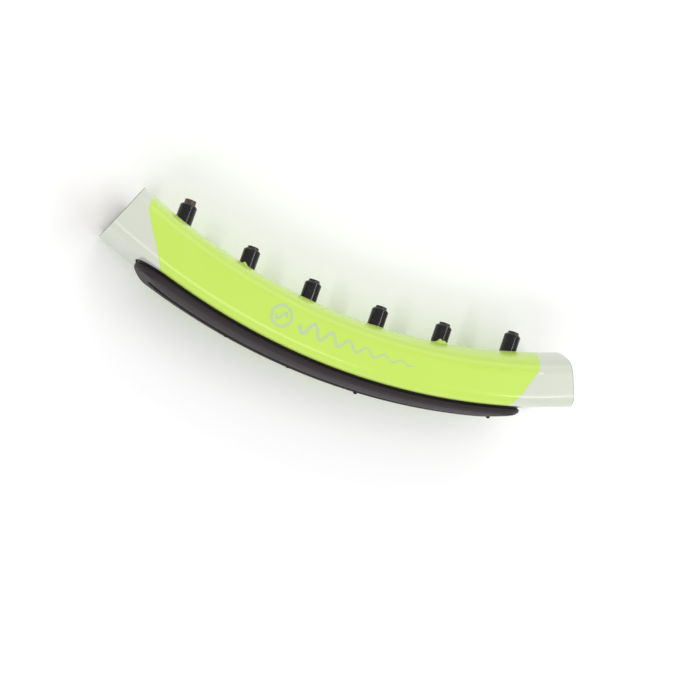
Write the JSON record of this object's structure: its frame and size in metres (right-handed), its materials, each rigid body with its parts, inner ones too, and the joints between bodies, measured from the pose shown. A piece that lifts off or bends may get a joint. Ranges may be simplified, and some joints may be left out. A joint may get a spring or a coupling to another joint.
{
  "type": "vibration dampener",
  "caption": "Curved damping bridge of a racquet throat: painted foam-filled shell, soft strip with a string channel on its throat side, and sprung lined string pins.",
  "frame": {"origin": "on the rear face, in the middle of the bridge's section on the centre line", "axes": "+X across the racquet to the right seen from the front, +Y along the strings towards the head, +Z out of the printed front face"},
  "size_m": [0.087, 0.0209, 0.0175],
  "materials": {
    "shell_paint": "satin lime paint over a pale grey-green base coat on moulded composite",
    "core_foam": "fine closed-cell foam",
    "strip_rubber": "satin black elastomer",
    "pin_plastic": "glossy black nylon",
    "liner_plastic": "smoky reddish-brown plastic",
    "pad_rubber": "matt dark elastomer"
  },
  "bodies": {
    "bridge": {"bridge_shell": "shell_paint", "foam_core": "core_foam", "damper_strip": "strip_rubber", "cushion_pad_1": "pad_rubber", "cushion_pad_2": "pad_rubber", "cushion_pad_3": "pad_rubber", "cushion_pad_4": "pad_rubber", "cushion_pad_5": "pad_rubber", "cushion_pad_6": "pad_rubber"},
    "pin_1": {"string_pin_1": "pin_plastic", "pin_liner_1": "liner_plastic"},
    "pin_2": {"string_pin_2": "pin_plastic", "pin_liner_2": "liner_plastic"},
    "pin_3": {"string_pin_3": "pin_plastic", "pin_liner_3": "liner_plastic"},
    "pin_4": {"string_pin_4": "pin_plastic", "pin_liner_4": "liner_plastic"},
    "pin_5": {"string_pin_5": "pin_plastic", "pin_liner_5": "liner_plastic"},
    "pin_6": {"string_pin_6": "pin_plastic", "pin_liner_6": "liner_plastic"}
  },
  "joints": [
    {"name": "pin_1_float", "type": "slide", "parent": "bridge", "child": "pin_1", "axis": [0, 1, 0], "range_m": [-0.0003, 0.0003], "stiffness_N_per_m": 2000},
    {"name": "pin_2_float", "type": "slide", "parent": "bridge", "child": "pin_2", "axis": [0, 1, 0], "range_m": [-0.0003, 0.0003], "stiffness_N_per_m": 2000},
    {"name": "pin_3_float", "type": "slide", "parent": "bridge", "child": "pin_3", "axis": [0, 1, 0], "range_m": [-0.0003, 0.0003], "stiffness_N_per_m": 2000},
    {"name": "pin_4_float", "type": "slide", "parent": "bridge", "child": "pin_4", "axis": [0, 1, 0], "range_m": [-0.0003, 0.0003], "stiffness_N_per_m": 2000},
    {"name": "pin_5_float", "type": "slide", "parent": "bridge", "child": "pin_5", "axis": [0, 1, 0], "range_m": [-0.0003, 0.0003], "stiffness_N_per_m": 2000},
    {"name": "pin_6_float", "type": "slide", "parent": "bridge", "child": "pin_6", "axis": [0, 1, 0], "range_m": [-0.0003, 0.0003], "stiffness_N_per_m": 2000}
  ]
}
